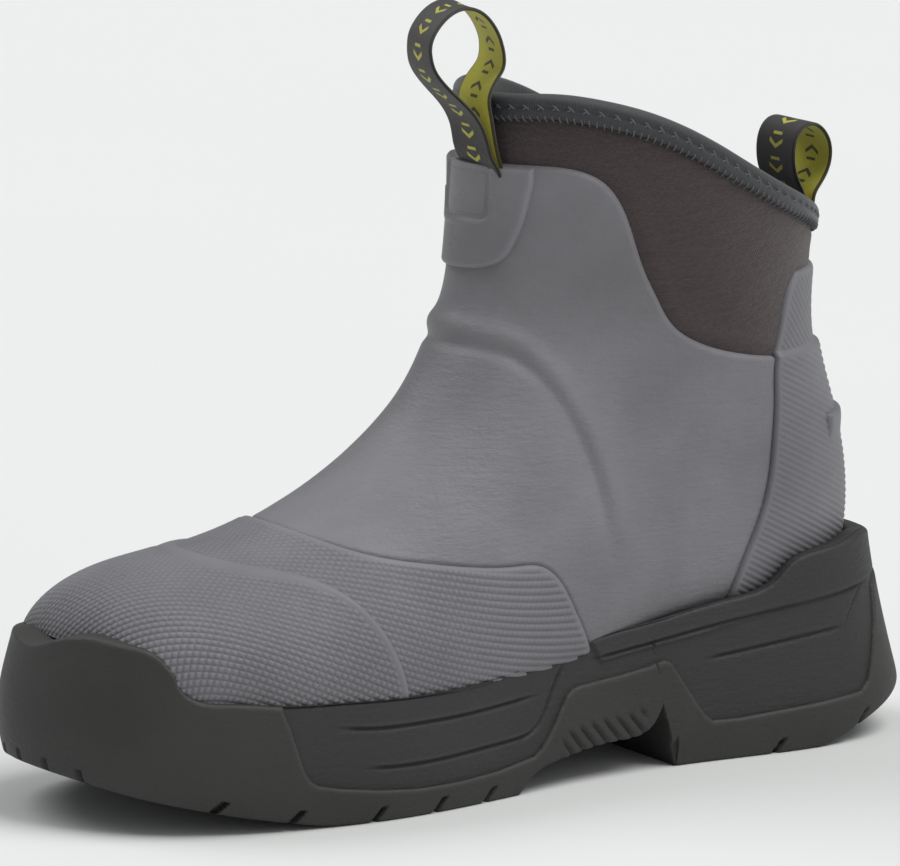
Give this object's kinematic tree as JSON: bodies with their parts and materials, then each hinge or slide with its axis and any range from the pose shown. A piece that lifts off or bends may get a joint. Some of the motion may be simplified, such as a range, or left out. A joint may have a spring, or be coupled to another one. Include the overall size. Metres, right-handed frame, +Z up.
{
  "type": "deck boot",
  "caption": "Ankle-high pull-on sailing boot with a neoprene bootie, rubber shell, grippy sole and webbing pull loops.",
  "frame": {"origin": "on the ground under the middle of the heel tread, in the boot's middle plane", "axes": "+X from the heel towards the toe, +Y to the outer (lateral) side of this left boot, +Z up"},
  "size_m": [0.3114, 0.1146, 0.2418],
  "materials": {
    "outsole_rubber": "matte moulded rubber",
    "midsole_foam": "matte foamed rubber",
    "shank_nylon": "moulded nylon",
    "board_fibre": "fibre board",
    "footbed_foam": "open-cell foam",
    "footbed_textile": "brushed knit",
    "heel_gel": "soft gel",
    "shell_rubber": "matte moulded rubber",
    "neoprene": "jersey-faced neoprene",
    "lining_textile": "fine knit",
    "stiffener_sheet": "thermoplastic sheet",
    "guard_rubber": "textured matte rubber",
    "badge_rubber": "matte rubber",
    "binding_textile": "elastic tape",
    "thread": "polyester thread",
    "webbing": "woven webbing",
    "insert_rubber": "soft rubber"
  },
  "bodies": {
    "boot": {"outsole": "outsole_rubber", "midsole": "midsole_foam", "shank": "shank_nylon", "insole_board": "board_fibre", "footbed_foam": "footbed_foam", "footbed_cover": "footbed_textile", "heel_cushion": "heel_gel", "rubber_shell": "shell_rubber", "neoprene_bootie": "neoprene", "lining": "lining_textile", "toe_puff": "stiffener_sheet", "heel_counter": "stiffener_sheet", "toe_cap": "guard_rubber", "vamp_overlay": "guard_rubber", "heel_overlay": "guard_rubber", "kick_rib": "guard_rubber", "front_patch": "shell_rubber", "front_badge": "badge_rubber", "collar_binding": "binding_textile", "stitch_row_upper": "thread", "stitch_row_lower": "thread", "front_loop_tails": "webbing", "rear_tail_outer": "webbing", "rear_tail_inner": "webbing", "rear_bartack": "thread", "tread_insert_1": "insert_rubber", "tread_insert_2": "insert_rubber", "tread_insert_3": "insert_rubber", "tread_insert_4": "insert_rubber"},
    "front_loop": {"front_pull_loop": "webbing"},
    "rear_loop": {"rear_pull_loop": "webbing"}
  },
  "joints": [
    {"name": "front_loop_fold", "type": "hinge", "parent": "boot", "child": "front_loop", "pos_m": [0.1006, 0, 0.1916], "axis": [0, 1, 0], "range_deg": [0, 70]},
    {"name": "rear_loop_fold", "type": "hinge", "parent": "boot", "child": "rear_loop", "pos_m": [-0.0208, 0, 0.1708], "axis": [0, 1, 0], "range_deg": [-20, 20]}
  ]
}
